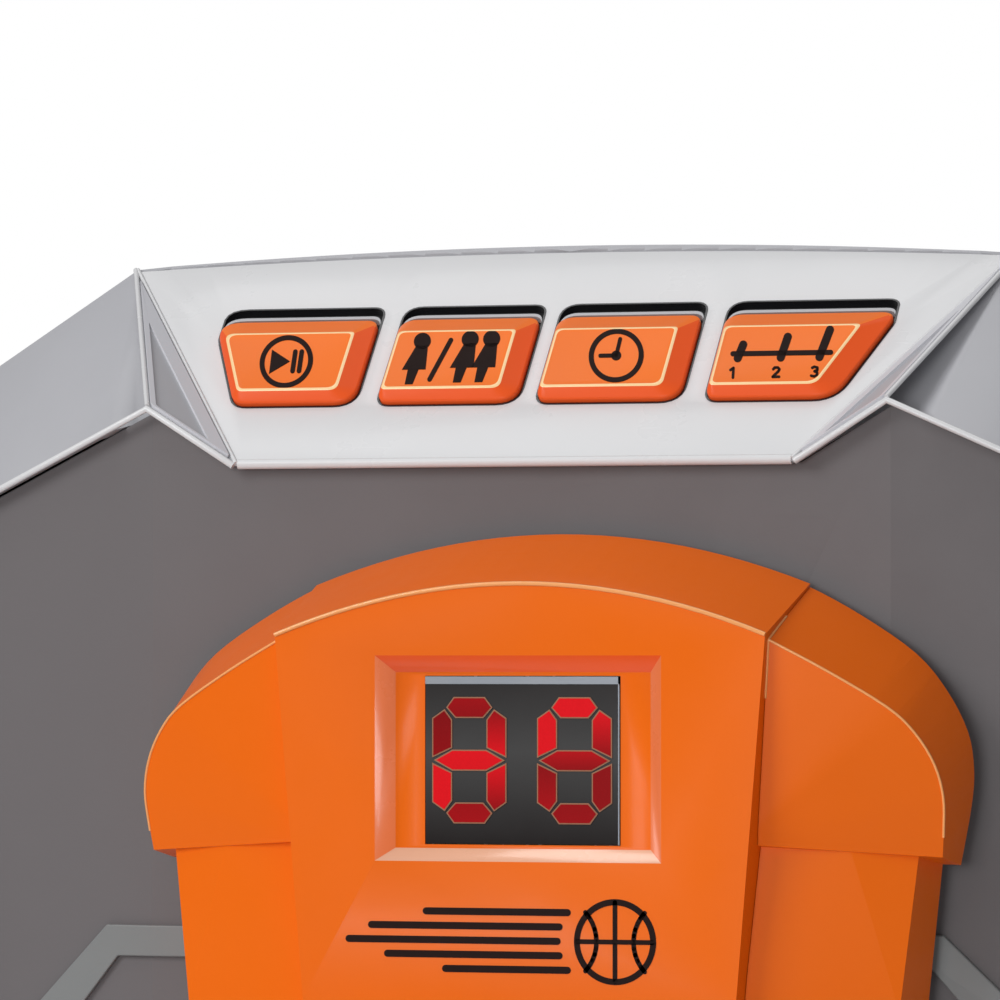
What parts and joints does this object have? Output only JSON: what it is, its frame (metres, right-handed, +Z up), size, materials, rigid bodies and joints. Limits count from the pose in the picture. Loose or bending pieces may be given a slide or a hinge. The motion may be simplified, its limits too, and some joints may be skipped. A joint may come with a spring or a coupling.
{
  "type": "basketball hoop machine",
  "caption": "Free-standing electronic basketball hoop on a pole: sliding score unit with rim and net, sloping button console, ballasted base.",
  "frame": {"origin": "centre of the base's footprint, on the floor", "axes": "+Z up, the player stands at -Y and the pole is at +Y, +X to the player's right"},
  "size_m": [0.44, 0.47, 1.1201],
  "materials": {
    "console_silver": "satin light silver moulding",
    "frame_silver": "satin silver-grey moulding",
    "panel_grey": "fine-grained dark grey moulding",
    "stripe_grey": "mid-grey moulding",
    "unit_orange": "satin orange moulding",
    "button_orange": "satin light orange moulding",
    "display_black": "smoked display block",
    "digit_red": "red light bars",
    "circuit_board": "solder-masked board",
    "black_plastic": "black moulding",
    "base_plastic": "textured dark grey moulding",
    "foot_rubber": "matt rubber",
    "tube_grey": "powder-coated tube",
    "tube_steel": "plated tube",
    "screw_steel": "zinc plate",
    "ballast_iron": "rough casting",
    "rim_orange": "satin orange moulding",
    "net_cord": "braided white cord",
    "gear_acetal": "natural white acetal",
    "membrane_rubber": "silicone domes",
    "cell_wrap": "plain battery sleeve"
  },
  "bodies": {
    "base": {"base_shell": "base_plastic", "base_plate": "black_plastic", "ballast_weight": "ballast_iron", "rubber_feet": "foot_rubber", "base_screws": "screw_steel", "pole_socket": "black_plastic", "socket_screws": "screw_steel", "lower_tube": "tube_grey", "clamp_collar": "black_plastic"},
    "knob": {"clamp_knob": "black_plastic"},
    "head": {"upper_tube": "tube_steel", "guide_bush": "gear_acetal", "tube_cap": "black_plastic", "head_bracket": "black_plastic", "bracket_bolts": "screw_steel", "frame_shell": "frame_silver", "console_cover": "console_silver", "back_cover": "base_plastic", "cover_screws": "screw_steel", "front_panel": "panel_grey", "arch_stripe": "stripe_grey", "key_board": "circuit_board", "key_membrane": "membrane_rubber", "main_board": "circuit_board", "board_chips": "black_plastic", "speaker": "black_plastic", "battery_box": "black_plastic", "battery_cells": "cell_wrap", "battery_contacts": "screw_steel", "switch_body": "black_plastic", "guide_rods": "tube_steel", "rod_blocks": "black_plastic", "drive_frame": "screw_steel", "gear_motor": "screw_steel"},
    "door": {"battery_door": "base_plastic", "door_screw": "screw_steel"},
    "switch": {"power_switch": "unit_orange"},
    "start_key": {"start_button": "button_orange"},
    "players_key": {"players_button": "button_orange"},
    "timer_key": {"timer_button": "button_orange"},
    "level_key": {"level_button": "button_orange"},
    "unit": {"carriage": "black_plastic", "carriage_bushes": "gear_acetal", "slide_rack": "gear_acetal", "score_face": "unit_orange", "left_side_cover": "unit_orange", "right_side_cover": "unit_orange", "rear_plate": "black_plastic", "display_window": "display_black", "digit_segments": "digit_red", "display_board": "circuit_board", "rim_bracket": "rim_orange", "rim": "rim_orange", "net": "net_cord", "rim_screws": "screw_steel", "flap_pin": "screw_steel"},
    "pinion": {"drive_pinion": "gear_acetal", "drive_shaft": "tube_steel"},
    "flap": {"score_flap": "black_plastic"}
  },
  "joints": [
    {"name": "height_slide", "type": "slide", "parent": "base", "child": "head", "axis": [0, 0, 1], "range_m": [0, 0.2]},
    {"name": "knob_turn", "type": "hinge", "parent": "base", "child": "knob", "pos_m": [0, 0.165, 0.573], "axis": [0, 1, 0], "range_deg": [0, 360]},
    {"name": "hoop_slide", "type": "slide", "parent": "head", "child": "unit", "axis": [1, 0, 0], "range_m": [-0.0463, 0.0137]},
    {"name": "pinion_turn", "type": "hinge", "parent": "head", "child": "pinion", "pos_m": [0, 0.074, 0.999], "axis": [0, 1, 0], "range_deg": [-66, 222]},
    {"name": "score_flap_swing", "type": "hinge", "parent": "unit", "child": "flap", "pos_m": [0.0163, -0.007, 0.837], "axis": [1, 0, 0], "range_deg": [0, 35], "stiffness_Nm_per_rad": 0.02, "springref_deg": -17.19},
    {"name": "battery_door_swing", "type": "hinge", "parent": "head", "child": "door", "pos_m": [0.096, 0.143, 0.802], "axis": [-1, 0, 0], "range_deg": [0, 100]},
    {"name": "power_switch_slide", "type": "slide", "parent": "head", "child": "switch", "axis": [1, 0, 0], "range_m": [0, 0.005]},
    {"name": "start_press", "type": "slide", "parent": "head", "child": "start_key", "axis": [0, 0.7357, -0.6774], "range_m": [0, 0.0025], "stiffness_N_per_m": 500, "springref_m": -0.002},
    {"name": "players_press", "type": "slide", "parent": "head", "child": "players_key", "axis": [0, 0.7357, -0.6774], "range_m": [0, 0.0025], "stiffness_N_per_m": 500, "springref_m": -0.002},
    {"name": "timer_press", "type": "slide", "parent": "head", "child": "timer_key", "axis": [0, 0.7357, -0.6774], "range_m": [0, 0.0025], "stiffness_N_per_m": 500, "springref_m": -0.002},
    {"name": "level_press", "type": "slide", "parent": "head", "child": "level_key", "axis": [0, 0.7357, -0.6774], "range_m": [0, 0.0025], "stiffness_N_per_m": 500, "springref_m": -0.002}
  ],
  "couplings": [
    {"joint": "pinion_turn", "follows": "hoop_slide", "rad_per_m": -83.333}
  ]
}
